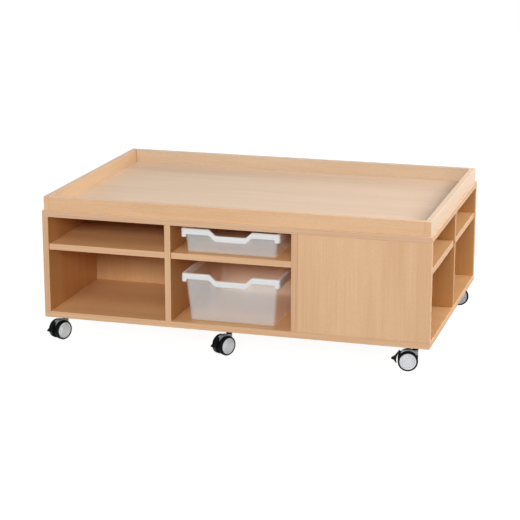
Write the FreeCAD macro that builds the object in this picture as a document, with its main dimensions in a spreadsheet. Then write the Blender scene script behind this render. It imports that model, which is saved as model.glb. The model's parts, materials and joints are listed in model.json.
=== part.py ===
import FreeCAD, Part
import Sketcher
import os
import re

# Nursery play table: a beech board carcass of six open bays on six twin-wheel
# castors, the front three braked, with a railed play surface and two plastic trays.
# Millimetres. Origin on the floor under the middle of the table, +X towards
# the open end, -Y towards the front, +Z up.

doc = FreeCAD.newDocument("play_table")
sheet = doc.addObject("Spreadsheet::Sheet", "Sizes")

# Driving dimensions
sizes = {
    # carcass
    "table_length": 1200,
    "table_depth": 790,
    "board_thick": 19,
    "edge_round": 1.2,
    "bay_width": 373,
    "lower_bay_height": 194.5,
    "upper_bay_height": 84,
    "shelf_recess": 4,
    "shelf_gap": 0.4,
    # upstand rails, each with a tongue in a groove of the top board
    "rail_height": 43.5,
    "rail_thick": 18,
    "rail_inset": 5,
    "tongue_depth": 4,
    "shoulder_gap": 0.3,
    "shoulder_width": 3,
    "groove_gap": 0.15,
    # fasteners of the carcass
    "drill_gap": 0.1,
    "fastener_inset": 60,
    "fastener_pitch": 335,
    "dowel_radius": 4,
    "dowel_length": 32,
    "dowel_sink": 11,
    "screw_radius": 3,
    "screw_length": 50,
    "screw_head_radius": 5,
    "screw_head_height": 3.5,
    "pin_radius": 3,
    "pin_seat": 8,
    "pin_reach": 9,
    "pin_front": 90,
    "pin_back": 60,
    # castor plate and its fixings
    "caster_height": 82,
    "caster_left_inset_x": 38.3,
    "caster_left_inset_y": 69,
    "caster_middle_inset_y": 57,
    "caster_right_inset_x": 51,
    "caster_right_inset_y": 55,
    "caster_rear_inset_x": 66,
    "caster_rear_inset_y": 24,
    "caster_middle_shift": 24,
    "plate_hole_pitch": 32,
    "plate_margin": 6,
    "plate_thick": 2.5,
    "stem_radius": 5,
    "stem_length": 16,
    "fixing_radius": 2,
    "fixing_length": 16,
    "fixing_head_radius": 3.8,
    "fixing_head_height": 2,
    # castor housing
    "swivel_gap": 0.3,
    "running_gap": 0.05,
    "caster_trail": 22,
    "fin_radius": 33.5,
    "fin_thick": 10,
    "fin_drop": 8,
    "fin_rear": 21,
    "boss_radius": 9.5,
    "boss_height": 18,
    "neck_width": 16,
    # castor wheels
    "wheel_radius": 30,
    "wheel_width": 16,
    "wheel_gap": 12,
    "core_radius": 25,
    "core_face_set": 1.5,
    "core_ring_width": 3,
    "core_ring_sink": 0.8,
    "tyre_round": 4,
    "axle_radius": 3,
    "axle_length": 38,
    "press_gap": 0.02,
    # brake lever, its points measured from the stem and the floor
    "brake_width": 14,
    "brake_tip_x": 71,
    "brake_tip_z": 33,
    "brake_tip_thick": 3,
    "brake_tip_solid": 9,
    "brake_tip_bevel": 2,
    "brake_top_x": 46,
    "brake_top_z": 60,
    "brake_heel_x": 57,
    "brake_heel_z": 21,
    "brake_arm": 5,
    "brake_wheel_gap": 4,
    "pivot_x": 36,
    "pivot_z": 46,
    "pivot_radius": 2.5,
    "pivot_boss_radius": 5,
    "tongue_thick": 4.6,
    "slot_gap": 0.3,
    "slot_margin": 3,
    # trays
    "tray_side_room": 33,
    "tray_back_room": 8,
    "tray_setback": 13,
    "tray_shift": 4,
    "tray_lift": 0.2,
    "tray_rim_side": 11,
    "tray_rim_front": 7,
    "tray_rim_corner": 8,
    "tray_wall": 2.5,
    "tray_draft": 3.6,
    "tray_corner": 14,
    "tray_foot_round": 5,
    "tray_front_lip": 17,
    "tray_side_lip": 26,
    "dip_depth": 18,
    "dip_top_width": 132,
    "dip_floor_width": 94,
    "shallow_tray_height": 75,
    "deep_tray_height": 150,
    # direction that each castor trails at rest, in degrees from +X
    "yaw_front_left": 242,
    "yaw_front_middle": 239,
    "yaw_front_right": 192,
    "yaw_rear_left": 190,
    "yaw_rear_middle": 350,
    "yaw_rear_right": 16,
}

# Places worked out from the driving dimensions
places = {
    "half_length": "table_length / 2",
    "half_depth": "table_depth / 2",
    "base_top": "caster_height + board_thick",
    "shelf_z": "base_top + lower_bay_height",
    "top_z": "shelf_z + board_thick + upper_bay_height",
    "play_z": "top_z + board_thick",
    "upright_height": "top_z - base_top",
    "bay_depth": "half_depth - board_thick / 2",
    "left_bay_x": "board_thick - half_length",
    "divider_x": "left_bay_x + bay_width",
    "middle_bay_x": "divider_x + board_thick",
    "cross_x": "middle_bay_x + bay_width",
    "end_bay_x": "cross_x + board_thick",
    "end_bay_depth": "half_length - end_bay_x",
    "end_bay_width": "bay_depth - board_thick",
    "rail_x": "half_length - rail_inset",
    "rail_y": "half_depth - rail_inset",
    "caster_left_x": "half_length - caster_left_inset_x",
    "caster_left_y": "half_depth - caster_left_inset_y",
    "caster_middle_y": "half_depth - caster_middle_inset_y",
    "caster_right_x": "half_length - caster_right_inset_x",
    "caster_right_y": "half_depth - caster_right_inset_y",
    "caster_rear_x": "half_length - caster_rear_inset_x",
    "caster_rear_y": "half_depth - caster_rear_inset_y",
    "plate_size": "plate_hole_pitch + 2 * plate_margin",
    "plate_z": "caster_height - plate_thick",
    "boss_top": "plate_z - swivel_gap",
    "boss_z": "boss_top - boss_height",
    "tray_rim_width": "bay_width - 2 * tray_side_room",
    "tray_rim_length": "bay_depth - tray_setback - tray_back_room",
    "tray_top_width": "tray_rim_width - 2 * tray_rim_side",
    "tray_top_length": "tray_rim_length - tray_rim_front - tray_rim_side",
    "tray_x": "middle_bay_x + bay_width / 2 - tray_shift",
    "tray_y": "tray_setback - half_depth",
}


def formula(text):
    # Every name in the text that isn't a function is a cell of the sheet.
    return re.sub(r"\b[a-z]\w*\b(?!\()", r"Sizes.\g<0>", text)


def fill_sheet():
    row = 0
    for alias, value in sizes.items():
        row += 1
        sheet.set(f"A{row}", alias)
        sheet.set(f"B{row}", str(value))
        sheet.setAlias(f"B{row}", alias)
    for alias, text in places.items():
        row += 1
        sheet.set(f"A{row}", alias)
        sheet.setAlias(f"B{row}", alias)
        sheet.set(f"B{row}", "=" + text)
    doc.recompute()


fill_sheet()
nodes = {}


def bind(item, **formulas):
    for name, text in formulas.items():
        item.setExpression(name, formula(text))
    return item


def place(item, x="0", y="0", z="0", turn=None):
    for axis, text in zip("xyz", (x, y, z)):
        item.setExpression("Placement.Base." + axis, formula(text))
    if turn:
        item.setExpression("Placement.Rotation.Angle", formula(turn))
    return item


def keep(label, item):
    item.Label = label
    nodes[label] = item
    return item


# Turns that lay a cylinder's axis along X or Y, and stand a wedge upright
along_x = FreeCAD.Rotation(FreeCAD.Vector(0, 1, 0), 90)
along_y = FreeCAD.Rotation(FreeCAD.Vector(1, 0, 0), -90)
upright = FreeCAD.Rotation(FreeCAD.Vector(1, 0, 0), 90)


def add(kind, name, parent):
    return parent.newObject(kind, name) if parent else doc.addObject(kind, name)


def box(name, corner, extent, parent=None, kind="Part::Box"):
    item = add(kind, name, parent)
    bind(item, Length=extent[0], Width=extent[1], Height=extent[2])
    return place(item, *corner)


def rod(name, start, radius, length, rotation=None, parent=None, kind="Part::Cylinder"):
    item = add(kind, name, parent)
    bind(item, Radius=radius, Height=length)
    if rotation:
        item.Placement.Rotation = rotation
    return place(item, *start)


def wedge(name, foot, top, front, back, height, parent=None, kind="Part::Wedge"):
    # An upright block whose foot and top are rectangles: half widths in x, and y spans.
    item = add(kind, name, parent)
    bind(item, Xmin=f"-({foot})", Xmax=foot, X2min=f"-({top})", X2max=top)
    bind(item, Zmin=f"-({back[0]})", Zmax=f"-({front[0]})")
    bind(item, Z2min=f"-({back[1]})", Z2max=f"-({front[1]})")
    bind(item, Ymin="0", Ymax=height)
    item.Placement.Rotation = upright
    return item


def cut(base, tools):
    tool = tools[0]
    if len(tools) > 1:
        tool = doc.addObject("Part::Compound", "Tools")
        tool.Links = tools
    item = doc.addObject("Part::Cut", "Cut")
    item.Base = base
    item.Tool = tool
    return item


def join(items):
    item = doc.addObject("Part::MultiFuse", "Join")
    item.Shapes = items
    return item


def group(label, items):
    item = doc.addObject("Part::Compound", label)
    item.Links = items
    return keep(label, item)


def body_of(name):
    return doc.addObject("PartDesign::Body", name)


def sheet_value(text):
    return float(sheet.evalExpression(text))


def outline(body, role, points):
    # A closed sketch of straight lines through points given as pairs of formulas.
    sketch = body.newObject("Sketcher::SketchObject", "Outline")
    plane = next(item for item in body.Origin.OriginFeatures if item.Role == role)
    sketch.AttachmentSupport = [(plane, "")]
    sketch.MapMode = "FlatFace"
    values = [[sheet_value(text) for text in point] for point in points]
    for start, end in zip(values, values[1:] + values[:1]):
        sketch.addGeometry(Part.LineSegment(FreeCAD.Vector(*start, 0), FreeCAD.Vector(*end, 0)))
    for index in range(len(points)):
        following = (index + 1) % len(points)
        sketch.addConstraint(Sketcher.Constraint("Coincident", index, 2, following, 1))
    for index, point in enumerate(points):
        for direction, axis, text, value in zip("XY", (-2, -1), point, values[index]):
            if text == "0":
                sketch.addConstraint(Sketcher.Constraint("PointOnObject", index, 1, axis))
            else:
                rule = Sketcher.Constraint("Distance" + direction, -1, 1, index, 1, value)
                number = sketch.addConstraint(rule)
                sketch.setExpression(f"Constraints[{number}]", formula(text))
    return sketch


def slab(body, sketch, thickness):
    pad = body.newObject("PartDesign::Pad", "Slab")
    pad.Profile = sketch
    pad.SideType = "Symmetric"
    return bind(pad, Length=thickness)


def turned(body, points):
    # A solid of revolution about the body's Y axis: points are radius and place along Y.
    revolution = body.newObject("PartDesign::Revolution", "Turned")
    sketch = outline(body, "XY_Plane", points)
    revolution.Profile = sketch
    revolution.ReferenceAxis = (sketch, ["V_Axis"])
    revolution.Angle = 360
    return revolution


def round_edges(body, base, radius, wanted=None):
    # Rounds the edges for which wanted(edge) is true, or all of them.
    doc.recompute()
    fillet = body.newObject("PartDesign::Fillet", "Round")
    chosen = [f"Edge{n}" for n, edge in enumerate(base.Shape.Edges, 1) if wanted and wanted(edge)]
    fillet.Base = (base, chosen)
    fillet.UseAllEdges = wanted is None
    bind(fillet, Radius=radius)
    return fillet


def rises(edge):
    return edge.BoundBox.ZLength > max(edge.BoundBox.XLength, edge.BoundBox.YLength)


def board(label, corner, extent):
    body = body_of(label)
    blank = box("Blank", ("0", "0", "0"), extent, body, "PartDesign::AdditiveBox")
    round_edges(body, blank, "edge_round")
    return place(body, *corner)


# Carcass: uprights between base and top board, given by corner, direction and length

uprights = {
    "left_side_panel": ("-half_length", "-half_depth", "y", "table_depth"),
    "cross_divider": ("cross_x", "-half_depth", "y", "table_depth"),
    "spine_panel": ("left_bay_x", "-board_thick / 2", "x", "cross_x - left_bay_x"),
    "front_divider": ("divider_x", "-half_depth", "y", "bay_depth"),
    "rear_divider": ("divider_x", "board_thick / 2", "y", "bay_depth"),
    "end_partition": ("end_bay_x", "-board_thick / 2", "x", "end_bay_depth"),
    "front_right_panel": ("end_bay_x", "-half_depth", "x", "end_bay_depth"),
    "rear_right_panel": ("end_bay_x", "half_depth - board_thick", "x", "end_bay_depth"),
}

# Shelves: bay corner, the side that is open, and the walls that hold the pins
shelves = {
    "shelf_front_left": ("left_bay_x", "-half_depth", "front", ("left_side_panel", "front_divider")),
    "shelf_front_middle": ("middle_bay_x", "-half_depth", "front", ("front_divider", "cross_divider")),
    "shelf_rear_left": ("left_bay_x", "board_thick / 2", "rear", ("left_side_panel", "rear_divider")),
    "shelf_rear_middle": ("middle_bay_x", "board_thick / 2", "rear", ("rear_divider", "cross_divider")),
    "shelf_end_front": ("end_bay_x", "board_thick - half_depth", "end", ("front_right_panel", "end_partition")),
    "shelf_end_rear": ("end_bay_x", "board_thick / 2", "end", ("end_partition", "rear_right_panel")),
}

holes = {}


def drill(labels, tool):
    for label in labels:
        holes.setdefault(label, []).append(tool)


def fastener_spots(x, y, run, length):
    # One dowel and one screw near each end, and more between about a pitch apart
    span = f"({length} - 2 * fastener_inset)"
    steps = max(1, round(sheet_value(f"{span} / fastener_pitch")))
    for index in range(steps + 1):
        along = f"fastener_inset + {span} * {index} / {steps}"
        if run == "x":
            yield f"{x} + {along}", f"{y} + board_thick / 2"
        else:
            yield f"{x} + board_thick / 2", f"{y} + {along}"


def carcass_fasteners():
    dowels = []
    screws = []
    for label, layout in uprights.items():
        for x, y in fastener_spots(*layout):
            foot = (x, y, "top_z + dowel_sink - dowel_length")
            dowels.append(rod("Dowel", foot, "dowel_radius", "dowel_length"))
            hole = rod("DowelHole", foot, "dowel_radius + drill_gap", "dowel_length")
            drill((label, "top_board"), hole)
            foot = (x, y, "caster_height")
            head = rod("ScrewHead", foot, "screw_head_radius", "screw_head_height")
            shank = rod("ScrewShank", foot, "screw_radius", "screw_length")
            screws.append(join([head, shank]))
            sink = rod("ScrewSink", foot, "screw_head_radius + drill_gap", "screw_head_height")
            hole = rod("ScrewHole", foot, "screw_radius + drill_gap", "screw_length")
            drill(("base_board",), join([sink, hole]))
            drill((label,), hole)
    group("top_dowels", dowels)
    group("base_screws", screws)


def shelf_and_pins(label, x, y, open_side, walls):
    if open_side == "end":
        corner = (f"{x} + shelf_gap", f"{y} + shelf_gap", "shelf_z")
        extent = ("end_bay_depth - shelf_recess - shelf_gap", "end_bay_width - 2 * shelf_gap", "board_thick")
        rows = ("half_length - pin_front", f"{x} + pin_back")
        first, last, turn = y, f"{y} + end_bay_width", along_y
    else:
        inner = "shelf_recess" if open_side == "front" else "shelf_gap"
        corner = (f"{x} + shelf_gap", f"{y} + {inner}", "shelf_z")
        extent = ("bay_width - 2 * shelf_gap", "bay_depth - shelf_recess - shelf_gap", "board_thick")
        rows = (f"{y} + pin_front", f"{y} + bay_depth - pin_back")
        if open_side == "rear":
            rows = (f"{y} + bay_depth - pin_front", f"{y} + pin_back")
        first, last, turn = x, f"{x} + bay_width", along_x
    keep(label, board(label, corner, extent))
    pins = []
    for wall, start in zip(walls, (f"{first} - pin_seat", f"{last} - pin_reach")):
        for row in rows:
            spot = (row, start) if open_side == "end" else (start, row)
            spot = (*spot, "shelf_z - pin_radius")
            pins.append(rod("Pin", spot, "pin_radius", "pin_seat + pin_reach", turn))
            drill((wall,), rod("PinHole", spot, "pin_radius + drill_gap", "pin_seat + pin_reach", turn))
    return pins


def groove():
    # The ring in the top board that the rails' tongues stand in
    outer = ("rail_x - shoulder_width + groove_gap", "rail_y - shoulder_width + groove_gap")
    inner = ("rail_x - rail_thick - groove_gap", "rail_y - rail_thick - groove_gap")
    rings = []
    for x, y in (outer, inner):
        corner = (f"-({x})", f"-({y})", "play_z - tongue_depth")
        rings.append(box("Ring", corner, (f"2 * ({x})", f"2 * ({y})", "2 * tongue_depth")))
    return cut(rings[0], rings[1:])


def carcass():
    for label, (x, y, run, length) in uprights.items():
        extent = (length, "board_thick") if run == "x" else ("board_thick", length)
        blank = board("Blank", (x, y, "base_top"), (*extent, "upright_height"))
        keep(label, cut(blank, holes[label]))
    sheet_size = ("table_length", "table_depth", "board_thick")
    blank = board("Blank", ("-half_length", "-half_depth", "caster_height"), sheet_size)
    keep("base_board", cut(blank, holes["base_board"]))
    blank = board("Blank", ("-half_length", "-half_depth", "top_z"), sheet_size)
    keep("top_board", cut(blank, [groove()] + holes["top_board"]))


def rail(label, corner, extent, tongue_corner, tongue_extent):
    body = body_of(label)
    blank = box("Blank", (*corner, "play_z + shoulder_gap"), (*extent, "rail_height - shoulder_gap"),
                body, "PartDesign::AdditiveBox")
    middle = sheet_value("play_z + rail_height / 2")
    round_edges(body, blank, "edge_round", lambda edge: edge.BoundBox.ZMax > middle)
    box("Tongue", (*tongue_corner, "play_z - tongue_depth"),
        (*tongue_extent, "tongue_depth + shoulder_gap + edge_round"), body, "PartDesign::AdditiveBox")
    keep(label, body)


def rails():
    # The side rails run through, and the front and rear rails stand between them.
    through = ("rail_thick", "2 * rail_y")
    tongue = ("rail_thick - shoulder_width", "2 * (rail_y - shoulder_width)")
    rail("left_rail", ("-rail_x", "-rail_y"), through,
         ("shoulder_width - rail_x", "shoulder_width - rail_y"), tongue)
    rail("right_rail", ("rail_x - rail_thick", "-rail_y"), through,
         ("rail_x - rail_thick", "shoulder_width - rail_y"), tongue)
    between = ("2 * (rail_x - rail_thick)", "rail_thick")
    tongue = ("2 * (rail_x - rail_thick)", "rail_thick - shoulder_width")
    rail("front_rail", ("rail_thick - rail_x", "-rail_y"), between,
         ("rail_thick - rail_x", "shoulder_width - rail_y"), tongue)
    rail("rear_rail", ("rail_thick - rail_x", "rail_y - rail_thick"), between,
         ("rail_thick - rail_x", "rail_y - rail_thick"), tongue)


# Trays: origin of each at the middle of its rim's front, on its foot

def tray_block(height, foot_z, wall):
    # A tapered block with rounded corners: the outside of the tray, or its hollow
    body = body_of("TrayBlock")
    rise = f"({height} - {foot_z})"
    taper = f"({rise} * tan(tray_draft))"
    half = f"(tray_top_width / 2 - {wall})"
    front = f"(tray_rim_front + {wall})"
    back = f"(tray_rim_front + tray_top_length - {wall})"
    block = wedge("Block", f"{half} - {taper}", half, (f"{front} + {taper}", front),
                  (f"{back} - {taper}", back), rise, body, "PartDesign::AdditiveWedge")
    corners = round_edges(body, block, f"tray_corner - {wall}", rises)
    middle = sheet_value(rise) / 2
    round_edges(body, corners, f"tray_foot_round - {wall}", lambda edge: edge.BoundBox.ZMax < middle)
    return place(body, z=foot_z)


def rim_block(height, wall, depth):
    body = body_of("RimBlock")
    corner = (f"{wall} - tray_rim_width / 2", wall, f"{height} - ({depth})")
    extent = (f"tray_rim_width - 2 * {wall}", f"tray_rim_length - 2 * {wall}", f"{depth} - {wall}")
    block = box("Block", corner, extent, body, "PartDesign::AdditiveBox")
    round_edges(body, block, f"tray_rim_corner - {wall}", rises)
    return body


def dip(height, drop, front, back):
    # The dipped stretch of the front rim, lowered by drop
    item = wedge("Dip", "dip_floor_width / 2", "dip_top_width / 2", (front, front), (back, back), "dip_depth")
    return place(item, z=f"{height} - dip_depth - {drop}")


def tray(label, height, floor_z):
    form = tray_block(height, "0", "0")
    shell = cut(form, [tray_block(height, "tray_wall", "tray_wall")])
    middle = box("Middle", ("tray_rim_side - tray_rim_width / 2", "-tray_wall", f"{height} - 2 * tray_side_lip"),
                 ("tray_top_width", "tray_rim_length + 2 * tray_wall", "2 * tray_side_lip - tray_front_lip"))
    reach = "tray_rim_front + 4 * tray_wall"
    skirt = cut(rim_block(height, "0", "tray_side_lip"), [middle])
    apron = dip(height, "tray_front_lip", "0", reach)
    hollow = cut(rim_block(height, "tray_wall", "tray_side_lip + dip_depth + tray_front_lip"),
                 [dip(height, "tray_wall", "-tray_wall", f"2 * ({reach})")])
    rim = cut(cut(join([skirt, apron]), [hollow]), [form])
    notch = dip(height, "0", "-tray_wall", reach)
    item = keep(label, cut(join([shell, rim]), [notch]))
    place(item, "tray_x", "tray_y", f"{floor_z} + tray_lift")


# Castors: local origin on the floor under the stem, +X the way the wheels trail

casters = {
    "front_left": ("-caster_left_x", "-caster_left_y"),
    "front_middle": ("-caster_middle_shift", "-caster_middle_y"),
    "front_right": ("caster_right_x", "-caster_right_y"),
    "rear_left": ("-caster_rear_x", "caster_rear_y"),
    "rear_middle": ("-caster_middle_shift", "caster_rear_y"),
    "rear_right": ("caster_rear_x", "caster_rear_y"),
}
braked = ("front_left", "front_middle", "front_right")

plus_box = "PartDesign::AdditiveBox"
minus_box = "PartDesign::SubtractiveBox"
plus_rod = "PartDesign::AdditiveCylinder"
minus_rod = "PartDesign::SubtractiveCylinder"


def caster_plate(x, y):
    body = body_of("Plate")
    box("Plate", ("-plate_size / 2", "-plate_size / 2", "plate_z"),
        ("plate_size", "plate_size", "plate_thick"), body, plus_box)
    rod("Stem", ("0", "0", "plate_z - stem_length"), "stem_radius", "stem_length + plate_thick",
        None, body, plus_rod)
    fixings = []
    for side_x in ("-plate_hole_pitch / 2", "plate_hole_pitch / 2"):
        for side_y in ("-plate_hole_pitch / 2", "plate_hole_pitch / 2"):
            rod("Hole", (side_x, side_y, "plate_z - plate_thick"), "fixing_radius + drill_gap",
                "3 * plate_thick", None, body, minus_rod)
            spot = (f"{x} + {side_x}", f"{y} + {side_y}")
            head = rod("Head", (*spot, "plate_z - fixing_head_height"), "fixing_head_radius",
                       "fixing_head_height")
            foot = (*spot, "plate_z - fixing_head_height / 2")
            shank = rod("Shank", foot, "fixing_radius", "fixing_length")
            fixings.append(join([head, shank]))
            drill(("base_board",), rod("Pilot", foot, "fixing_radius + drill_gap", "fixing_length"))
    return place(body, x, y), fixings


def caster_housing(label, x, y, yaw, has_brake):
    body = body_of(label)
    rod("Fin", ("caster_trail", "-fin_thick / 2", "wheel_radius"), "fin_radius", "fin_thick",
        along_y, body, plus_rod)
    box("Under", ("caster_trail - 2 * fin_radius", "-fin_thick", "-fin_radius"),
        ("4 * fin_radius", "2 * fin_thick", "wheel_radius + fin_radius - fin_drop"), body, minus_box)
    box("Rear", ("caster_trail + fin_rear", "-fin_thick", "0"),
        ("fin_radius", "2 * fin_thick", "wheel_radius + 2 * fin_radius"), body, minus_box)
    box("Neck", ("-neck_width / 2", "-fin_thick / 2", "wheel_radius"),
        ("neck_width", "fin_thick", "boss_z + boss_height / 2 - wheel_radius"), body, plus_box)
    rod("Boss", ("0", "0", "boss_z"), "boss_radius", "boss_height", None, body, plus_rod)
    rod("StemBore", ("0", "0", "plate_z - stem_length - swivel_gap"), "stem_radius + running_gap",
        "stem_length + swivel_gap", None, body, minus_rod)
    rod("AxleBore", ("caster_trail", "-fin_thick", "wheel_radius"), "axle_radius + running_gap",
        "2 * fin_thick", along_y, body, minus_rod)
    if has_brake:
        box("Slot", ("pivot_x - pivot_boss_radius - slot_margin", "-tongue_thick / 2 - slot_gap",
                     "pivot_z - pivot_boss_radius - slot_margin"),
            ("2 * fin_radius", "tongue_thick + 2 * slot_gap", "2 * fin_radius"), body, minus_box)
        rod("PivotBore", ("pivot_x", "-fin_thick", "pivot_z"), "pivot_radius + running_gap",
            "2 * fin_thick", along_y, body, minus_rod)
    keep(label, place(body, x, y, "0", yaw))


def caster_brake(label, x, y, yaw):
    # A forked pedal over both tyres, on a tongue that turns between the housing's cheeks
    body = body_of(label)
    fork = slab(body, outline(body, "XZ_Plane", [
        ("brake_top_x", "brake_top_z"),
        ("brake_tip_x", "brake_tip_z + brake_tip_thick / 2"),
        ("brake_tip_x", "brake_tip_z - brake_tip_thick / 2"),
        ("brake_heel_x", "brake_heel_z"),
        ("brake_heel_x - brake_arm", "brake_heel_z"),
        ("brake_tip_x - brake_tip_solid", "brake_tip_z"),
        ("brake_top_x", "brake_top_z - brake_arm"),
    ]), "brake_width")
    doc.recompute()
    at_tip = sheet_value("brake_tip_x - brake_tip_thick")
    corners = [f"Edge{n}" for n, edge in enumerate(fork.Shape.Edges, 1)
               if edge.BoundBox.XMin > at_tip and rises(edge)]
    bevel = body.newObject("PartDesign::Chamfer", "Bevel")
    bevel.Base = (fork, corners)
    bind(bevel, Size="brake_tip_bevel")
    rod("WheelSpace", ("caster_trail", "-brake_width", "wheel_radius"), "wheel_radius + brake_wheel_gap",
        "2 * brake_width", along_y, body, minus_rod)
    slab(body, outline(body, "XZ_Plane", [
        ("pivot_x - pivot_boss_radius", "pivot_z"),
        ("pivot_x + pivot_boss_radius", "pivot_z"),
        ("brake_top_x + brake_arm / 2", "brake_top_z - 3 * brake_arm / 2"),
        ("brake_top_x", "brake_top_z - brake_arm / 2"),
    ]), "tongue_thick")
    rod("PivotBoss", ("pivot_x", "-tongue_thick / 2", "pivot_z"), "pivot_boss_radius", "tongue_thick",
        along_y, body, plus_rod)
    rod("Pivot", ("pivot_x", "-fin_thick / 2", "pivot_z"), "pivot_radius", "fin_thick",
        along_y, body, plus_rod)
    keep(label, place(body, x, y, "0", yaw))


def wheel_core():
    # Wheel disc: a blind bore on the inner side, a rim ring and a raised middle on the outer
    body = body_of("Core")
    inner = "wheel_gap / 2"
    face = "wheel_gap / 2 + wheel_width - core_face_set"
    bore = "axle_radius + press_gap"
    turned(body, [
        ("0", "axle_length / 2"),
        (bore, "axle_length / 2"),
        (bore, inner),
        ("core_radius", inner),
        ("core_radius", face),
        ("core_radius - core_ring_width", face),
        ("core_radius - core_ring_width - core_ring_sink", f"{face} - core_ring_sink"),
        ("core_radius - 2 * core_ring_width", f"{face} - core_ring_sink"),
        ("core_radius - 2 * core_ring_width - core_face_set", "wheel_gap / 2 + wheel_width"),
        ("0", "wheel_gap / 2 + wheel_width"),
    ])
    return body


def wheel_tyre():
    body = body_of("Tyre")
    ring = turned(body, [
        ("core_radius + press_gap", "wheel_gap / 2"),
        ("wheel_radius", "wheel_gap / 2"),
        ("wheel_radius", "wheel_gap / 2 + wheel_width"),
        ("core_radius + press_gap", "wheel_gap / 2 + wheel_width"),
    ])
    tread = (sheet_value("core_radius") + sheet_value("wheel_radius")) / 2
    round_edges(body, ring, "tyre_round", lambda edge: edge.BoundBox.ZLength > 2 * tread)
    return body


def caster_wheels(label, x, y, yaw):
    # Both wheels are pressed on one axle that turns in the housing.
    hub = (f"{x} + caster_trail * cos({yaw})", f"{y} + caster_trail * sin({yaw})", "wheel_radius")
    turns = (yaw, f"{yaw} + 180")
    group(f"{label}_wheels", [place(wheel_core(), *hub, turn) for turn in turns])
    group(f"{label}_tyres", [place(wheel_tyre(), *hub, turn) for turn in turns])
    axle = body_of(f"{label}_axle")
    rod("Axle", ("0", "-axle_length / 2", "0"), "axle_radius", "axle_length", along_y, axle, plus_rod)
    keep(f"{label}_axle", place(axle, *hub, yaw))


def all_casters():
    plates = []
    fixings = []
    for name, (x, y) in casters.items():
        label = f"caster_{name}"
        yaw = f"yaw_{name}"
        plate, screws = caster_plate(x, y)
        plates.append(plate)
        fixings.extend(screws)
        caster_housing(f"{label}_housing", x, y, yaw, name in braked)
        if name in braked:
            caster_brake(f"{label}_brake", x, y, yaw)
        caster_wheels(label, x, y, yaw)
    group("caster_plates", plates)
    group("caster_screws", fixings)


def export():
    doc.recompute()
    for item in doc.Objects:
        if "Invalid" in item.State or "Error" in item.State:
            raise RuntimeError(f"{item.Name} ({item.Label}) failed: {item.State}")
    for label, item in nodes.items():
        if item.Shape.isNull() or not item.Shape.isValid() or not item.Shape.Solids:
            raise RuntimeError(f"{label} has no valid solid")
    os.makedirs("parts", exist_ok=True)
    for label, item in nodes.items():
        item.Shape.exportStep(f"parts/{label}.step")
        print(label, len(item.Shape.Solids), "solid(s)", round(item.Shape.Volume), "mm3")


carcass_fasteners()
pins = []
for label, layout in shelves.items():
    pins.extend(shelf_and_pins(label, *layout))
group("shelf_pins", pins)
all_casters()
carcass()
rails()
tray("shallow_tray", "shallow_tray_height", "shelf_z + board_thick")
tray("deep_tray", "deep_tray_height", "base_top")
export()
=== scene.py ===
import json
import math
import bmesh
import bpy
from mathutils import Matrix, Vector


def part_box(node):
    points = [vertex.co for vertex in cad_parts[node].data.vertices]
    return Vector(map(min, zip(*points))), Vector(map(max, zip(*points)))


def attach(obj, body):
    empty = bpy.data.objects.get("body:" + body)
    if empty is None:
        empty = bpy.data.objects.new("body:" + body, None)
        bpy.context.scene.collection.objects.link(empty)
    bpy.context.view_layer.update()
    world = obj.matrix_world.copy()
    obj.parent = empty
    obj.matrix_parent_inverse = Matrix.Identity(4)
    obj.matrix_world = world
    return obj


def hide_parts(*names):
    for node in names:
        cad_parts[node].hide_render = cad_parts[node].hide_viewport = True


# Play table on castors: beech boards, milky trays, twin-wheel castors
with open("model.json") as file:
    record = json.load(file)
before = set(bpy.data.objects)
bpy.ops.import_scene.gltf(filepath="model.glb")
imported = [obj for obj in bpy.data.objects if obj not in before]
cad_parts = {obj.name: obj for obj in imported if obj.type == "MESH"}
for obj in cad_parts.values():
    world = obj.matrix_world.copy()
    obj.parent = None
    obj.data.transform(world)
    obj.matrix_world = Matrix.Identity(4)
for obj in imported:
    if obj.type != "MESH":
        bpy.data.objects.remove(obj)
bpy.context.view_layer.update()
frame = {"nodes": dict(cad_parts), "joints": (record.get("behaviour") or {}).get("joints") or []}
nodes = frame["nodes"]
joints = {joint["name"]: joint for joint in frame["joints"]}
mm = 0.001
print("frame loaded:", len(nodes), "nodes")


def light(red, green, blue):  # a picture colour, 0 to 255, as linear light
    parts = [value / 255 for value in (red, green, blue)]
    return [part / 12.92 if part < 0.04 else ((part + 0.055) / 1.055) ** 2.4 for part in parts] + [1.0]


# Shader sums in plain Python: a wire is an output socket that adds Math nodes
class Wire:
    def __init__(self, paint, socket):
        self.paint = paint
        self.socket = socket

    def __add__(self, other):
        return self.paint.sum("ADD", self, other)

    def __sub__(self, other):
        return self.paint.sum("SUBTRACT", self, other)

    def __rsub__(self, other):
        return self.paint.sum("SUBTRACT", other, self)

    def __mul__(self, other):
        return self.paint.sum("MULTIPLY", self, other)

    def __abs__(self):
        return self.paint.sum("ABSOLUTE", self)

    def __lt__(self, other):
        return self.paint.sum("LESS_THAN", self, other)

    def __gt__(self, other):
        return self.paint.sum("GREATER_THAN", self, other)

    __radd__ = __add__
    __rmul__ = __mul__

    def between(self, low, high):  # 0 below low, 1 above high
        return self.paint.node("ShaderNodeMapRange", {"interpolation_type": "SMOOTHSTEP"},
                               {"Value": self, "From Min": low, "From Max": high})


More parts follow.
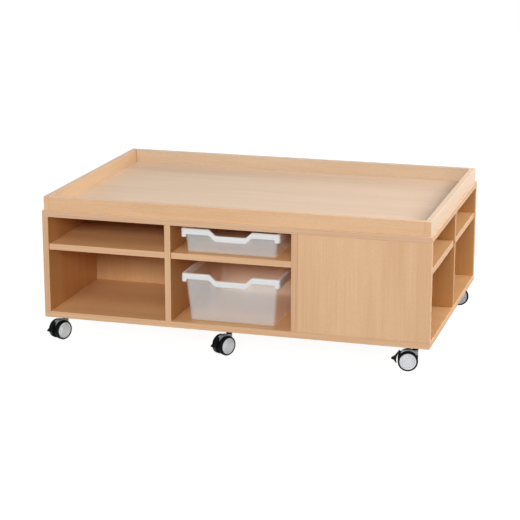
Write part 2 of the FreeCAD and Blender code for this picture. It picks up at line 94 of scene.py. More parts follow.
class Bench:
    def __init__(self, tree):
        self.tree = tree

    def set(self, node, sockets):
        for key, value in sockets.items():
            if isinstance(value, Wire):
                self.tree.links.new(value.socket, node.inputs[key])
            else:
                node.inputs[key].default_value = value

    def node(self, kind, settings=None, sockets=None, output=0):
        made = self.tree.nodes.new(kind)
        for key, value in (settings or {}).items():
            setattr(made, key, value)
        self.set(made, sockets or {})
        return Wire(self, made.outputs[output])

    def sum(self, operation, first, second=0.0):
        return self.node("ShaderNodeMath", {"operation": operation}, {0: first, 1: second})

    def blend(self, factor, first, second):
        return self.node("ShaderNodeMix", {"data_type": "RGBA"}, {0: factor, 6: first, 7: second}, 2)

    def parts(self, vector):
        return [self.node("ShaderNodeSeparateXYZ", None, {0: vector}, axis) for axis in range(3)]

    def noise(self, vector, scale, detail=3.0, rough=0.5, bend=0.0):  # scale is one number for each axis
        stretched = self.node("ShaderNodeVectorMath", {"operation": "MULTIPLY"}, {0: vector, 1: scale})
        return self.node("ShaderNodeTexNoise", None,
                         {"Vector": stretched, "Scale": 1.0, "Detail": detail, "Roughness": rough, "Distortion": bend})


class Paint(Bench):
    def __init__(self, name, **fixed):
        self.material = bpy.data.materials.new(name)
        self.material.use_nodes = True
        super().__init__(self.material.node_tree)
        self.shader = self.tree.nodes["Principled BSDF"]
        self.finish(**fixed)

    def spot(self):
        return self.node("ShaderNodeTexCoord", None, None, "Object")

    def bump(self, height, strength, distance):
        return self.node("ShaderNodeBump", None, {"Height": height, "Strength": strength, "Distance": distance})

    def finish(self, **sockets):
        self.set(self.shader, {key.replace("_", " "): value for key, value in sockets.items()})
        return self.material


# Beech: long soft figure, fine streaks and the short dark flecks of its rays
beech = {
    "pale": (223, 183, 142), "warm": (212, 168, 126), "fleck": (162, 114, 75),
    "edgePale": (219, 177, 137), "edgeWarm": (208, 163, 123),
    "figureLength": 0.7, "figureWidth": 0.055, "figureShare": 0.6, "figureRange": (0.32, 0.7),
    "streakLength": 0.16, "streakWidth": 0.0032, "streakShare": 0.4, "streakRange": (0.3, 0.72), "streakGloss": 0.1,
    "fleckLength": 0.009, "fleckWidth": 0.0009, "fleckShare": 0.3, "fleckRange": (0.6, 0.72), "fleckDull": 0.08,
    "bandAcross": 300.0, "bandAlong": 3.0, "bandRange": (0.35, 0.7), "edgeDull": 0.35,
    "roughness": 0.4, "relief": 0.0003, "bump": 0.12,
}
# Paler, whiter beech for the play board: painted sheen and light on its top
playSheenBeech = dict(beech, pale=(229, 200, 172), warm=(218, 188, 160), edgePale=(216, 177, 141), edgeWarm=(205, 163, 128))
rearRailSheenBeech = dict(beech, pale=(209, 184, 156), warm=(199, 170, 140))  # paler, whiter beech on the rail's inner face: painted sheen
# More orange beech for the base board and shelves: painted shade from the warm light inside the bays
shelfShadeBeech = dict(beech, pale=(225, 178, 127), warm=(214, 163, 110))
# Darker, more orange beech for faces inside the bays: painted shade
innerShadeBeech = dict(beech, pale=(218, 164, 102), warm=(207, 149, 86), edgePale=(214, 172, 133), edgeWarm=(203, 158, 119))
# The end partition's edges are darker still: painted shade on its front edge
partitionShadeBeech = dict(innerShadeBeech, edgePale=(201, 154, 110), edgeWarm=(190, 141, 98))
# Darker beech for the dividers: painted shadow of the trays, which cast none
dividerShadeBeech = dict(beech, pale=(207, 157, 98), warm=(196, 142, 83))
# Darker beech for the spine: painted shade at the back of the bays
spineShadeBeech = dict(beech, pale=(211, 167, 117), warm=(199, 151, 99))
# Paler, whiter beech for the right rail: painted light from the right and sheen
sideLitBeech = dict(beech, pale=(224, 193, 158), warm=(213, 178, 142))
# More orange beech for the rear end panel's inner face: painted shade in the end bays
rearPanelShadeBeech = dict(beech, pale=(224, 174, 113), warm=(213, 159, 97))
# Darker, less red beech for the left rail: painted shade
leftRailShadeBeech = dict(beech, pale=(212, 179, 142), warm=(201, 164, 126))
grainTurn = {"x": (0, 0, 0), "y": (0, 0, -math.pi / 2), "z": (0, math.pi / 2, 0)}


def beechWood(name, grain, face=None, gloss=0.0, look=beech, outside=None):
    paint = Paint(name, IOR=1.46)
    spot = paint.spot()
    run = paint.node("ShaderNodeMapping", None, {"Vector": spot, "Rotation": grainTurn[grain]})

    def grainNoise(kind, detail, rough=0.5, bend=0.0):  # drawn out along the grain
        along, across = 1 / look[f"{kind}Length"], 1 / look[f"{kind}Width"]
        return paint.noise(run, (along, across, across), detail, rough, bend)

    def facing(axis):  # how far a face looks along one axis, -1 to 1
        return paint.parts(paint.node("ShaderNodeNewGeometry", None, None, "Normal"))["xyz".index(axis)]

    figure = grainNoise("figure", 4.0, 0.55, 0.6)
    streak = grainNoise("streak", 3.0)
    fleck = grainNoise("fleck", 1.0).between(*look["fleckRange"])
    mix = figure.between(*look["figureRange"]) * look["figureShare"]
    mix = mix + streak.between(*look["streakRange"]) * look["streakShare"]
    colour = paint.blend(mix, light(*look["pale"]), light(*look["warm"]))
    colour = paint.blend(fleck * look["fleckShare"], colour, light(*look["fleck"]))
    rough = look["roughness"] - gloss - streak * look["streakGloss"] + fleck * look["fleckDull"]
    if outside:  # the side that faces out of the table is plain beech; the faces inside carry the look's painted light and shade
        axis, side = outside
        plain = paint.blend(mix, light(*beech["pale"]), light(*beech["warm"]))
        colour = paint.blend(facing(axis) * side > 0.5, colour, plain)
    if face:  # the narrow sides carry an edge band with its own streaks
        band = abs(facing(face)) < 0.5
        fine = [look["bandAcross"] if axis == face else look["bandAlong"] for axis in "xyz"]
        bandStreak = paint.noise(spot, fine, 2.0).between(*look["bandRange"])
        bandColour = paint.blend(bandStreak, light(*look["edgePale"]), light(*look["edgeWarm"]))
        colour = paint.blend(band, colour, bandColour)
        rough = rough + band * look["edgeDull"]
    height = streak * 0.6 - fleck * 0.5
    return paint.finish(Base_Color=colour, Roughness=rough, Normal=paint.bump(height, look["bump"], look["relief"]))


woods = {
    "playBoard": beechWood("beechPlayBoard", "x", "z", gloss=-0.15, look=playSheenBeech),
    "boardsAlong": beechWood("beechBoardAlong", "x", "z", look=shelfShadeBeech),
    "boardsAcross": beechWood("beechBoardAcross", "y", "z", look=shelfShadeBeech),
    "uprightsAcross": beechWood("beechUprightAcross", "z", "x", look=innerShadeBeech),
    "dividers": beechWood("beechDivider", "z", "x", look=dividerShadeBeech),
    "uprightsAlong": beechWood("beechUprightAlong", "z", "y", look=partitionShadeBeech),
    "spine": beechWood("beechSpine", "z", "y", look=spineShadeBeech),
    "panels": beechWood("beechPanel", "z", "y"),
    "rearPanel": beechWood("beechRearPanel", "z", "y", look=rearPanelShadeBeech, outside=("y", 1)),
    "leftPanel": beechWood("beechLeftPanel", "z", "x", look=innerShadeBeech, outside=("x", -1)),
    "railsAlong": beechWood("beechRailAlong", "x"),
    "rearRail": beechWood("beechRearRail", "x", look=rearRailSheenBeech, outside=("y", 1)),
    "leftRail": beechWood("beechLeftRail", "y", look=leftRailShadeBeech, outside=("y", -1)),
    "rightRail": beechWood("beechRightRail", "y", look=sideLitBeech, outside=("y", -1)),
}
woodOf = {
    "playBoard": ("top_board",),
    "boardsAlong": ("base_board", "shelf_front_left", "shelf_front_middle", "shelf_rear_left",
                    "shelf_rear_middle"),
    "boardsAcross": ("shelf_end_front", "shelf_end_rear"),
    "uprightsAcross": ("cross_divider",),
    "dividers": ("front_divider", "rear_divider"),
    "uprightsAlong": ("end_partition", "top_dowels"),
    "spine": ("spine_panel",),
    "panels": ("front_right_panel",),
    "rearPanel": ("rear_right_panel",),
    "leftPanel": ("left_side_panel",),
    "railsAlong": ("front_rail",),
    "rearRail": ("rear_rail",),
    "leftRail": ("left_rail",),
    "rightRail": ("right_rail",),
}


def dress(node, material):
    nodes[node].data.materials.clear()
    nodes[node].data.materials.append(material)


for wood, members in woodOf.items():
    for member in members:
        dress(member, woods[wood])
print("boards dressed in beech")


# Moulded plastics, rubber and plated steel
surface = {
    "relief": 0.0001,
    # waves per metre
    "cloud": 45.0, "milkCloud": 18.0, "milkGrain": 900.0, "brushAlong": 80.0, "brushAcross": 1400.0, "stain": 60.0,
}


def shaded(colour, share):
    return [part * share for part in light(*colour)[:3]] + [1.0]


def mouldedPlastic(name, colour, roughness, grainSize=0.0006, speckle=0.06, index=1.5):
    paint = Paint(name, IOR=index)
    spot = paint.spot()
    grain = paint.noise(spot, (1 / grainSize,) * 3, 2.0)
    cloud = paint.noise(spot, (surface["cloud"],) * 3, 3.0)
    shade = paint.blend(cloud.between(0.3, 0.7), light(*colour), shaded(colour, 1 - 2 * speckle))
    return paint.finish(Base_Color=shade, Roughness=roughness + cloud * 0.1 - grain * 0.05,
                        Normal=paint.bump(grain, 0.15, surface["relief"]))


def milkyPlastic(name, look, haze):  # clear-walled polypropylene: light passes and the wood shows through
    paint = Paint(name, IOR=1.45)
    spot = paint.spot()
    cloud = paint.noise(spot, (surface["milkCloud"],) * 3, 3.0)
    grain = paint.noise(spot, (surface["milkGrain"],) * 3, 2.0)
    colour = paint.blend(cloud.between(0.3, 0.7), light(*look["pale"]), light(*look["grey"]))
    return paint.finish(Base_Color=colour, Alpha=haze + (cloud - 0.5) * 0.08,
                        Roughness=look["roughness"] + grain * 0.1, Normal=paint.bump(grain, 0.1, surface["relief"]))


def platedSteel(name, colour, roughness):
    paint = Paint(name, Metallic=1.0)
    spot = paint.spot()
    across = surface["brushAcross"]
    brushed = paint.noise(spot, (surface["brushAlong"], across, across), 2.0)
    stain = paint.noise(spot, (surface["stain"],) * 3, 4.0)
    shade = paint.blend(stain.between(0.35, 0.7), light(*colour), shaded(colour, 0.8))
    return paint.finish(Base_Color=shade, Roughness=roughness + brushed * 0.15 + stain * 0.08,
                        Normal=paint.bump(brushed, 0.08, surface["relief"]))


trayLook = {"pale": (226, 236, 239), "grey": (220, 231, 234), "roughness": 0.4}
# Side and back walls tinted warm: painted warm light from the wood round them
wallWarmBounceLook = {"pale": (246, 234, 221), "grey": (240, 228, 215), "roughness": 0.4}
milkyFront = milkyPlastic("milkyFront", trayLook, 0.275)
milkyWall = milkyPlastic("milkyWall", wallWarmBounceLook, 0.24)
rimPlastic = mouldedPlastic("whiteRim", (221, 221, 221), 0.36, speckle=0.01)
discPlastic = mouldedPlastic("greyDisc", (222, 224, 227), 0.36, speckle=0.02)
hoodPlastic = mouldedPlastic("greyHood", (158, 167, 166), 0.34)
# darker grey for the hood's top: painted shade under the table
hoodTopShade = mouldedPlastic("hoodTopShadePlastic", (92, 102, 99), 0.4)
pedalPlastic = mouldedPlastic("blackPedal", (12, 14, 16), 0.5, index=1.25)
tyreRubber = mouldedPlastic("blackTyre", (10, 13, 15), 0.6, 0.0009, index=1.2)
zinc = platedSteel("zincSteel", (196, 196, 192), 0.3)
# dark brown steel for the shelf pins
darkPinSteel = platedSteel("darkShelfPins", (110, 84, 62), 0.4)


# Mesh helpers: shells are made in millimetres in a piece's own frame, then placed in metres
def turned(profile, segments=72, closed=False):  # pairs of radius and place along y
    shell = bmesh.new()
    rings = []
    for radius, along in profile:
        count = segments if radius else 1
        angles = [2 * math.pi * step / segments for step in range(count)]
        places = [(radius * math.cos(angle), along, radius * math.sin(angle)) for angle in angles]
        rings.append([shell.verts.new(place) for place in places])
    for first, second in zip(rings, rings[1:] + rings[:1] if closed else rings[1:]):
        for step in range(segments):
            corners = [first[step % len(first)], first[(step + 1) % len(first)],
                       second[(step + 1) % len(second)], second[step % len(second)]]
            shell.faces.new(list(dict.fromkeys(corners)))
    bmesh.ops.recalc_face_normals(shell, faces=shell.faces)
    return shell


def prism(points, low, high, bevel=0.0):  # a flat outline in x and z, from low to high in y
    shell = bmesh.new()
    near = [shell.verts.new((x, low, z)) for x, z in points]
    far = [shell.verts.new((x, high, z)) for x, z in points]
    shell.faces.new(near)
    shell.faces.new(far[::-1])
    for step in range(len(points)):
        after = (step + 1) % len(points)
        shell.faces.new((near[step], far[step], far[after], near[after]))
    bmesh.ops.recalc_face_normals(shell, faces=shell.faces)
    if bevel:
        sharp = [edge for edge in shell.edges if edge.calc_face_angle(0) > 0.5]
        bmesh.ops.bevel(shell, geom=sharp, offset=bevel, segments=2, profile=0.6, affect="EDGES")
    return shell


def arc(centre, radius, start, end, steps):  # points in x and z, angles in degrees
    angles = [math.radians(start + (end - start) * step / steps) for step in range(steps + 1)]
    return [(centre[0] + radius * math.cos(angle), centre[1] + radius * math.sin(angle)) for angle in angles]


def pieceOf(name, shells, place, materials, smooth=40):  # a face's number picks its material
    whole = bmesh.new()
    for shell in shells:
        part = bpy.data.meshes.new("part")
        shell.to_mesh(part)
        shell.free()
        whole.from_mesh(part)
        bpy.data.meshes.remove(part)
    bmesh.ops.transform(whole, matrix=place, verts=whole.verts)
    mesh = bpy.data.meshes.new(name)
    whole.to_mesh(mesh)
    whole.free()
    mesh.polygons.foreach_set("use_smooth", [True] * len(mesh.polygons))
    mesh.set_sharp_from_angle(angle=math.radians(smooth))
    for material in materials:
        mesh.materials.append(material)
    piece = bpy.data.objects.new(name, mesh)
    bpy.context.scene.collection.objects.link(piece)
    return piece


def fit(piece, body, node):
    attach(piece, body)
    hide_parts(node)


# Castors, each in its own frame: origin on the floor under the stem, x the way the wheels trail
castor = {
    "wheelRadius": 30, "coreRadius": 25, "gap": 12, "width": 16,
    "tyreRound": 4, "groovePlace": 3.2, "grooveDepth": 0.7, "grooveWidth": 1.4,
    "finRadius": 33.5, "finHalf": 5, "finDrop": 8, "finRear": 21, "finFront": 0.28, "finSteps": 28,
    "neckHalf": 8, "neckTop": 70.2,
    "bossRadius": 9.5, "bossLow": 61.2, "bossTop": 79.2, "edge": 0.8,
    "slotHalf": 2.6, "slotX": 28, "slotZ": 38, "slotTop": 58, "darkBelow": 46, "shadeAbove": 60.5,
    "discRings": (  # radius, and depth below the disc's face
        (25, 2.2), (24.6, 1.6), (23.4, 1.5), (22.4, 1.9), (21.8, 2.4), (20.8, 2.4), (19.8, 1.4), (18.8, 0.8),
        (17.6, 0.5), (16.8, 1.7), (15.6, 1.7), (14.8, 0.5), (11.4, 0.25), (10.8, 1.4), (9.8, 1.4), (9.2, 0.25),
        (4, 0), (0, 0)),
}
pedal = {
    "half": 7, "tip": (71, 34), "tipThick": 3, "tipHalf": 5, "narrowFrom": 0.7,
    "top": (46, 60), "elbow": (60.5, 41.5), "root": (64, 31), "heel": (57, 21), "arm": 5, "space": 34, "armAngle": 45,
    "pivot": (36, 46), "pivotRadius": 2.5, "pivotHalf": 4.9, "pivotBoss": 5, "tongueHalf": 2.3, "tongueArc": (150, 320),
}


def discShells(look):
    shells = []
    inner, face = look["gap"] / 2, look["gap"] / 2 + look["width"]
    rim = look["coreRadius"]
    profile = [(0, inner), (rim - 4, inner), (rim, inner + 0.6)]
    profile += [(radius, face - depth) for radius, depth in look["discRings"]]
    for side in (1, -1):
        shell = turned([(radius, side * along) for radius, along in profile])
        for patch in shell.faces:  # the inner side is dark
            patch.material_index = 1 if abs(patch.calc_center_median().y) < inner + 1 else 0
        shells.append(shell)
    return shells


def tyreShells(look):
    shells = []
    low, high = look["gap"] / 2, look["gap"] / 2 + look["width"]
    outer, bend = look["wheelRadius"], look["tyreRound"]
    bore = look["coreRadius"] + 0.02
    middle = (low + high) / 2
    shoulder = arc((high - bend, outer - bend), bend, 0, 90, 6)  # here x is along y, and z the radius
    tread = []
    for centre in (middle + look["groovePlace"], middle - look["groovePlace"]):
        for step, depth in ((0.5, 0), (0.3, 1), (-0.3, 1), (-0.5, 0)):
            tread.append((outer - depth * look["grooveDepth"], centre + step * look["grooveWidth"]))
    profile = [(bore, low), (bore, high)] + [(radius, along) for along, radius in shoulder] + tread
    profile += [(radius, low + high - along) for along, radius in reversed(shoulder)]
    for side in (1, -1):
        shells.append(turned([(radius, side * along) for radius, along in profile], 96, True))
    return shells


def hoodShells(look, trail, braked):
    axle = (trail, look["wheelRadius"])
    foot = axle[1] - look["finDrop"]
    rear = trail + look["finRear"]
    neck, half, slot = look["neckHalf"], look["finHalf"], look["slotHalf"]
    slotX, slotZ = look["slotX"], look["slotZ"]
    rearAngle = math.degrees(math.acos(look["finRear"] / look["finRadius"]))
    frontAngle = 180 - math.degrees(math.asin(look["finFront"]))
    top = arc(axle, look["finRadius"], rearAngle, frontAngle, look["finSteps"])
    outline = [(rear, foot)] + [point for point in top if point[0] > neck * 0.9]
    outline += [(neck, look["neckTop"]), (-neck, look["neckTop"]), (-neck, axle[1] + 4), (2.4 - neck, foot)]
    shells = []
    if braked:  # two cheeks with the pedal's tongue between them, solid in front of the slot
        shells += [prism(outline, -half, -slot, look["edge"]), prism(outline, slot, half, look["edge"])]
        front = [point for point in outline if point[0] <= slotX]
        shells.append(prism([(slotX, foot), (slotX, look["slotTop"])] + front, -slot, slot))
        bridge = [(slotX - 1, foot + 0.5), (rear - 1, foot + 0.5), (rear - 1, slotZ), (slotX - 1, slotZ)]
        shells.append(prism(bridge, -slot, slot))
    else:
        shells.append(prism(outline, -half, half, look["edge"]))
    collar, low, high = look["bossRadius"], look["bossLow"], look["bossTop"]
    boss = turned([(0, low), (collar - 1.5, low), (collar, low + 1.5), (collar, high - 1.2), (collar - 1.2, high),
                   (0, high)], 48)
    bmesh.ops.rotate(boss, matrix=Matrix.Rotation(math.pi / 2, 3, "X"), verts=boss.verts)
    for shell in shells:  # grey sides, darker between the wheels, and darker along the top: painted shade under the table
        for level in (look["darkBelow"], look["shadeAbove"]):
            whole = shell.verts[:] + shell.edges[:] + shell.faces[:]
            bmesh.ops.bisect_plane(shell, geom=whole, plane_co=(0, 0, level), plane_no=(0, 0, 1))
        for face in shell.faces:
            level = face.calc_center_median().z
            face.material_index = 1 if level < look["darkBelow"] else 2 if level > look["shadeAbove"] else 0
    for face in boss.faces:  # the dark collar round the stem
        face.material_index = 1
    return shells + [boss]


def pedalShells(look, trail, wheelRadius):
    tipX, tipZ = look["tip"]
    topX, topZ = look["top"]
    heelX, heelZ = look["heel"]
    arm, half = look["arm"], look["half"]
    axle = (trail, wheelRadius)
    thick = look["tipThick"] / 2
    heelAngle = math.degrees(math.asin((heelZ - axle[1]) / look["space"]))
    outline = [(topX, topZ), look["elbow"], (tipX, tipZ + thick), (tipX, tipZ - thick), look["root"], (heelX, heelZ)]
    outline += arc(axle, look["space"], heelAngle, look["armAngle"], 10)  # hugs the wheels
    outline.append((topX, topZ - arm))
    beak = prism(outline, -half, half, 0.5)
    for vertex in beak.verts:  # narrows to its tip
        near = max(0.0, min(1.0, (vertex.co.x - topX) / (tipX - topX)))
        share = max(0.0, near - look["narrowFrom"]) / (1 - look["narrowFrom"])
        vertex.co.y *= 1 + (look["tipHalf"] / half - 1) * share
    shells = [beak]
    pivotX, pivotZ = look["pivot"]
    tongue = arc(look["pivot"], look["pivotBoss"], *look["tongueArc"], 10)
    tongue += [(topX + arm / 2, topZ - 3 * arm / 2), (topX, topZ - arm / 2)]
    shells.append(prism(tongue, -look["tongueHalf"], look["tongueHalf"], 0.3))
    radius, reach = look["pivotRadius"], look["pivotHalf"]
    pin = turned([(0, -reach), (radius, -reach), (radius, reach), (0, reach)], 32)
    bmesh.ops.translate(pin, vec=(pivotX, 0, pivotZ), verts=pin.verts)
    shells.append(pin)
    return shells


castorLabels = [name.removesuffix("_swivel") for name in joints if name.endswith("_swivel")]
for label in castorLabels:
    swivel = Vector(joints[f"{label}_swivel"]["pos_m"])
    roll = joints[f"{label}_roll"]
    across = roll["axis"]
    trail = math.dist(swivel[:2], roll["pos_m"][:2]) / mm
    braked = f"{label}_brake" in joints
    yaw = math.atan2(-across[0], across[1])
    place = Matrix.Translation((swivel.x, swivel.y, 0)) @ Matrix.Rotation(yaw, 4, "Z") @ Matrix.Scale(mm, 4)
    hub = place @ Matrix.Translation((trail, 0, castor["wheelRadius"]))
    discs = pieceOf(f"{label}_discs", discShells(castor), hub, [discPlastic, pedalPlastic], 25)
    fit(discs, f"{label}_wheelset", f"{label}_wheels")
    treads = pieceOf(f"{label}_treads", tyreShells(castor), hub, [tyreRubber])
    fit(treads, f"{label}_wheelset", f"{label}_tyres")
    hoodLooks = [hoodPlastic, pedalPlastic, hoodTopShade]
    hood = pieceOf(f"{label}_hood", hoodShells(castor, trail, braked), place, hoodLooks, 30)
    fit(hood, f"{label}_swivel", f"{label}_housing")
    if braked:
        leverShells = pedalShells(pedal, trail, castor["wheelRadius"])
        lever = pieceOf(f"{label}_lever", leverShells, place, [pedalPlastic], 30)
        fit(lever, f"{label}_pedal", f"{label}_brake")
    dress(f"{label}_axle", zinc)
dress("caster_plates", zinc)
print("castors made:", len(castorLabels))


# Trays: rings of points lofted over the rim, down the walls and across the floor
tray = {
    "wall": 2.5, "draft": 4.8, "corner": 11, "footRound": 5, "rimSide": 8, "rimFront": 7, "rimCorner": 8,
    "frontLip": 17, "sideLip": 26, "tab": 16, "soft": 2.2, "cornerSteps": 7, "sideSteps": 8,
    "dip": (  # place to either side of the middle, and depth below the rim
        (70, 0), (66.5, 0.6), (62, 3.8), (53, 12.4), (47.5, 17.2), (43.5, 18), (22, 18), (0, 18)),
    "lipPlaces": (1.0, 0.907, 0.882, 0.6, 0.3),  # along the front, from the corner to the dip
}


def dipAt(look, x):
    places = look["dip"]
    for (outer, high), (inner, low) in zip(places, places[1:]):
        if inner <= abs(x) <= outer:
            return high + (low - high) * (outer - abs(x)) / (outer - inner)
    return 0.0


def trayRing(look, halfX, front, back, corner):  # points of one ring, each marked if it is on the front
    straight = halfX - corner
    run = back - front - 2 * corner
    edge = look["dip"][0][0]
    leftXs = [-(edge + share * (straight - edge)) for share in look["lipPlaces"]]
    leftXs += [-place for place, drop in look["dip"]]
    ring = [(x, front, True) for x in leftXs + [-x for x in reversed(leftXs[:-1])]]
    steps = look["sideSteps"]

    def bend(centreX, centreY, start):
        for step in range(1, look["cornerSteps"]):
            angle = math.radians(start + 90 * step / look["cornerSteps"])
            ring.append((centreX + corner * math.cos(angle), centreY + corner * math.sin(angle), False))

    bend(straight, front + corner, -90)
    ring.extend((halfX, front + corner + run * step / steps, False) for step in range(steps + 1))
    bend(straight, back - corner, 0)
    ring.extend((straight - 2 * straight * step / steps, back, False) for step in range(steps + 1))
    bend(-straight, back - corner, 90)
    ring.extend((-halfX, back - corner - run * step / steps, False) for step in range(steps + 1))
    bend(-straight, front + corner, 180)
    return ring


def trayShell(look, width, length, height):
    shell = bmesh.new()
    wall, soft, corner = look["wall"], look["soft"], look["corner"]
    inner, foot = corner - wall, look["footRound"]
    halfRim, halfTop = width / 2, width / 2 - look["rimSide"]
    topFront, topBack = look["rimFront"], length - look["rimSide"]
    slope = math.tan(math.radians(look["draft"]))

    def body(z, inset, bend, extra=0.0):  # on the tapered walls, inset from the outer face
        taper = (height - z) * slope + inset + extra
        ring = trayRing(look, halfTop - taper, topFront + taper, topBack - taper, max(bend - extra, 0.8))
        return ring, z, "body"

    def wallTop(inset, drop):  # top of the walls, below the dipped rim
        return trayRing(look, halfTop - inset, topFront + inset, topBack - inset, corner - inset), -drop, "rim"

    def rim(inset, drop):  # on the rim, drop below its top
        return trayRing(look, halfRim - inset, inset, length - inset, look["rimCorner"] - inset), -drop, "rim"

    def lip(inset, lift):  # lower edge of the lip, shallower along the front
        return trayRing(look, halfRim - inset, inset, length - inset, look["rimCorner"] - inset), lift, "lip"

    turns = (0.0, 0.52, 1.05, math.pi / 2)
    sections = [body(wall, wall, inner, foot - wall), body(wall + 0.9, wall, inner, 0.7), body(foot, wall, inner)]
    sections += [wallTop(wall, 1.0), wallTop(wall - 0.8, 0.0)]
    sections += [rim(soft * (1 - math.sin(turn)), soft * (1 - math.cos(turn))) for turn in turns]
    sections += [lip(0.0, 0.4), lip(0.5, 0.0), lip(wall - 0.5, 0.0), lip(wall, 0.4)]
    sections += [rim(wall, wall), wallTop(0.0, wall)]
    sections += [body(foot, 0.0, corner), body(1.2, 0.0, corner, 1.0), body(0.0, 0.0, corner, foot - 0.6)]
    rings = []
    for ring, level, kind in sections:
        made = []
        for x, y, onFront in ring:
            z = level
            if kind != "body":  # hangs from the rim and follows its dip
                z = height + level - (dipAt(look, x) if onFront else 0.0)
            if kind == "lip":
                shallow = onFront and abs(x) < halfRim - look["tab"]
                z -= look["frontLip"] if shallow else look["sideLip"]
            made.append(shell.verts.new((x, y, z)))
        rings.append((made, kind != "body"))
    frontDepth = topFront + height * slope + 2 * wall
    for (first, above), (second, below) in zip(rings, rings[1:]):
        for step in range(len(first)):
            after = (step + 1) % len(first)
            face = shell.faces.new((first[step], first[after], second[after], second[step]))
            facesFront = face.calc_center_median().y < frontDepth
            face.material_index = 1 if above and below else 2 if facesFront else 0
    shell.faces.new(rings[0][0])
    shell.faces.new(rings[-1][0][::-1])
    bmesh.ops.recalc_face_normals(shell, faces=shell.faces)
    return shell


for name in ("shallow_tray", "deep_tray"):
    low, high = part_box(name)
    span = (high - low) / mm
    place = Matrix.Translation(((low.x + high.x) / 2, low.y, low.z)) @ Matrix.Scale(mm, 4)
    walls = trayShell(tray, span.x, span.y, span.z)
    tub = pieceOf(f"{name}_tub", [walls], place, [milkyWall, rimPlastic, milkyFront], 35)
    tub.visible_shadow = False  # milky walls scatter light on and hardly shade what is behind them
    fit(tub, name, name)
print("trays lofted")


# Screws: one tree makes a headed screw with a cross recess on every point
screwSets = {
    "caster_screws": {
        "Head Radius": 3.8, "Head Height": 2.0, "Shank Radius": 2.0, "Shank Length": 15.0,
        "Recess Length": 4.4, "Recess Width": 1.1, "Recess Depth": 1.2},
    "base_screws": {
        "Head Radius": 5.0, "Head Height": 3.5, "Shank Radius": 3.0, "Shank Length": 46.5,
        "Recess Length": 5.6, "Recess Width": 1.4, "Recess Depth": 2.2},
}


def screwTree(material):
    tree = bpy.data.node_groups.new("crossHeadScrews", "GeometryNodeTree")
    tree.interface.new_socket("Geometry", in_out="INPUT", socket_type="NodeSocketGeometry")
    for name in screwSets["base_screws"]:
        tree.interface.new_socket(name, in_out="INPUT", socket_type="NodeSocketFloat")
    tree.interface.new_socket("Geometry", in_out="OUTPUT", socket_type="NodeSocketGeometry")
    sizes = tree.nodes.new("NodeGroupInput").outputs
    result = tree.nodes.new("NodeGroupOutput")

    def give(socket, value):
        if isinstance(value, bpy.types.NodeSocket):
            tree.links.new(value, socket)
        else:
            socket.default_value = value

    def add(kind, **sockets):
        made = tree.nodes.new(kind)
        for key, value in sockets.items():
            give(made.inputs[key], value)
        return made.outputs[0]

    def sumOf(operation, first, second):
        made = tree.nodes.new("ShaderNodeMath")
        made.operation = operation
        give(made.inputs[0], first)
        give(made.inputs[1], second)
        return made.outputs[0]

    def raised(shape, lift):
        return add("GeometryNodeTransform", Geometry=shape, Translation=add("ShaderNodeCombineXYZ", Z=lift))

    tall, long = sizes["Head Height"], sizes["Shank Length"]
    head = add("GeometryNodeMeshCylinder", Vertices=28, Radius=sizes["Head Radius"], Depth=tall)
    shank = add("GeometryNodeMeshCylinder", Vertices=16, Radius=sizes["Shank Radius"], Depth=long)
    shank = raised(shank, sumOf("MULTIPLY", sumOf("ADD", tall, long), 0.5))
    recess = tree.nodes.new("GeometryNodeMeshBoolean")
    recess.operation = "DIFFERENCE"
    give(recess.inputs["Mesh 1"], head)
    depth = sumOf("MULTIPLY", sizes["Recess Depth"], 2.0)
    for first, second in (("Recess Length", "Recess Width"), ("Recess Width", "Recess Length")):
        size = add("ShaderNodeCombineXYZ", X=sizes[first], Y=sizes[second], Z=depth)
        bar = raised(add("GeometryNodeMeshCube", Size=size), sumOf("MULTIPLY", tall, -0.5))
        give(recess.inputs["Mesh 2"], bar)
    whole = tree.nodes.new("GeometryNodeJoinGeometry")
    for part in (recess.outputs[0], shank):
        give(whole.inputs[0], part)
    screw = raised(whole.outputs[0], sumOf("MULTIPLY", tall, 0.5))
    spread = add("GeometryNodeInstanceOnPoints", Points=sizes["Geometry"], Instance=screw)
    solid = add("GeometryNodeRealizeInstances", Geometry=spread)
    give(result.inputs[0], add("GeometryNodeSetMaterial", Geometry=solid, Material=material))
    return tree


def screwSpots(node):  # the foot of each screw, from the separate solids of its node
    copy = bmesh.new()
    copy.from_mesh(nodes[node].data)
    bmesh.ops.remove_doubles(copy, verts=copy.verts, dist=1e-6)
    left = set(copy.verts)
    spots = []
    while left:
        island, edgeOfIsland = set(), [left.pop()]
        while edgeOfIsland:
            vertex = edgeOfIsland.pop()
            island.add(vertex)
            for edge in vertex.link_edges:
                other = edge.other_vert(vertex)
                if other in left:
                    left.discard(other)
                    edgeOfIsland.append(other)
        xs, ys, zs = zip(*(vertex.co for vertex in island))
        spots.append(((min(xs) + max(xs)) / 2, (min(ys) + max(ys)) / 2, min(zs)))
    copy.free()
    return sorted(spots)  # the same order each run


screws = screwTree(zinc)
for node, lengths in screwSets.items():
    cloud = bpy.data.meshes.new(f"{node}_points")
    cloud.from_pydata(screwSpots(node), [], [])
    rows = bpy.data.objects.new(f"{node}_headed", cloud)
    bpy.context.scene.collection.objects.link(rows)
    maker = rows.modifiers.new("screws", "NODES")
    maker.node_group = screws
    for item in screws.interface.items_tree:
        if item.in_out == "INPUT" and item.name in lengths:
            maker[item.identifier] = lengths[item.name] * mm
    made = bpy.data.meshes.new_from_object(rows.evaluated_get(bpy.context.evaluated_depsgraph_get()))
    rows.modifiers.remove(maker)
    rows.data = made
    made.set_sharp_from_angle(angle=math.radians(40))
    fit(rows, "table", node)
dress("shelf_pins", darkPinSteel)
print("screws placed")


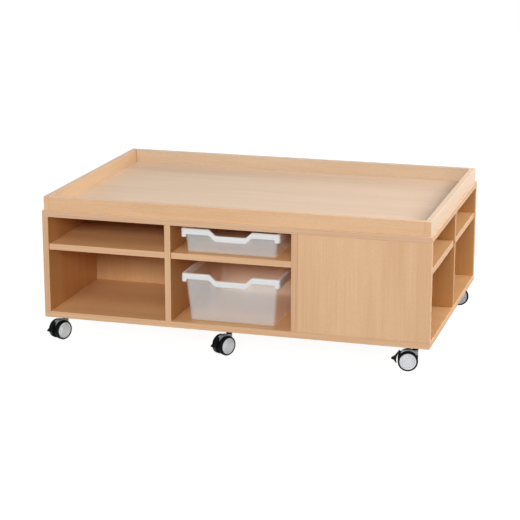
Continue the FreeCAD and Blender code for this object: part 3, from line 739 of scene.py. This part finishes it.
# Pale floor, soft light and the photograph's camera
studio = {
    "floor": (100, 100, 100), "floorGlow": 0.93, "floorReach": 250, "skyRear": 1.25, "skyFront": 0.21, "ground": 0.25,
    "lamps": (
        ("frontLamp", (0.2, -5.4, 2.28), (0.0, 0.0, 0.22), (4.2, 0.95), 212.0),
        ("topLamp", (0.2, -3.6, 4.2), (0.0, -0.3, 0.3), (3.0, 1.5), 46.0),
        ("sideLamp", (3.5, 0.3, 2.6), (0.4, 0.0, 0.25), (1.8, 1.8), 121.0),
        ("rearLamp", (3.4, 4.6, 1.7), (0.2, 0.3, 0.25), (2.4, 1.6), 62.0),
    ),
    "rearBand": (0.25, 0.6), "rearFade": (0.0, 0.7), "horizon": (-0.05, 0.05),
    "camera": (1.4354, -5.0233, 1.598), "yaw": 16.213, "pitch": 14.922, "lens": 117.5, "sensor": 36, "clip": 600,
    "bounces": 16, "diffuseBounces": 12, "clearBounces": 24,
}
reach = studio["floorReach"]
floorMesh = bpy.data.meshes.new("floor")
floorMesh.from_pydata([(-reach, -reach, 0), (reach, -reach, 0), (reach, reach, 0), (-reach, reach, 0)], [],
                      [(0, 1, 2, 3)])
floor = bpy.data.objects.new("floor", floorMesh)
bpy.context.scene.collection.objects.link(floor)
paleFloor = Paint("paleFloor", Base_Color=light(*studio["floor"]), Roughness=0.8, Emission_Color=(1, 1, 1, 1),
                  Emission_Strength=studio["floorGlow"])
floorMesh.materials.append(paleFloor.material)
floor.visible_diffuse = False  # the sky's grey lower half lights the table from below
world = bpy.data.worlds.new("softSky")
bpy.context.scene.world = world
world.use_nodes = True
sky = Bench(world.node_tree)
way = sky.node("ShaderNodeTexCoord", None, None, "Generated")
north, up = sky.parts(way)[1:]
low = 1 - up.between(*studio["rearBand"])  # the rear of the sky glows near the horizon
dome = studio["skyFront"] + north.between(*studio["rearFade"]) * low * (studio["skyRear"] - studio["skyFront"])
glow = studio["ground"] + up.between(*studio["horizon"]) * (dome - studio["ground"])
sky.set(world.node_tree.nodes["Background"], {"Color": (1, 1, 1, 1), "Strength": glow})
for name, spot, aim, size, power in studio["lamps"]:
    lamp = bpy.data.lights.new(name, "AREA")
    lamp.shape = "RECTANGLE"
    lamp.size, lamp.size_y = size
    lamp.energy = power
    holder = bpy.data.objects.new(name, lamp)
    holder.location = spot
    holder.rotation_euler = (Vector(aim) - Vector(spot)).to_track_quat("-Z", "Y").to_euler()
    bpy.context.scene.collection.objects.link(holder)
lensData = bpy.data.cameras.new("photoCamera")
lensData.lens = studio["lens"]
lensData.sensor_width = studio["sensor"]
lensData.clip_end = studio["clip"]
camera = bpy.data.objects.new("photoCamera", lensData)
camera.location = studio["camera"]
camera.rotation_euler = (math.radians(90 - studio["pitch"]), 0, math.radians(studio["yaw"]))
bpy.context.scene.collection.objects.link(camera)
bpy.context.scene.camera = camera
bpy.context.scene.view_settings.view_transform = "Standard"
bpy.context.scene.cycles.max_bounces = studio["bounces"]
bpy.context.scene.cycles.diffuse_bounces = studio["diffuseBounces"]
bpy.context.scene.cycles.transparent_max_bounces = studio["clearBounces"]
print("stage set")
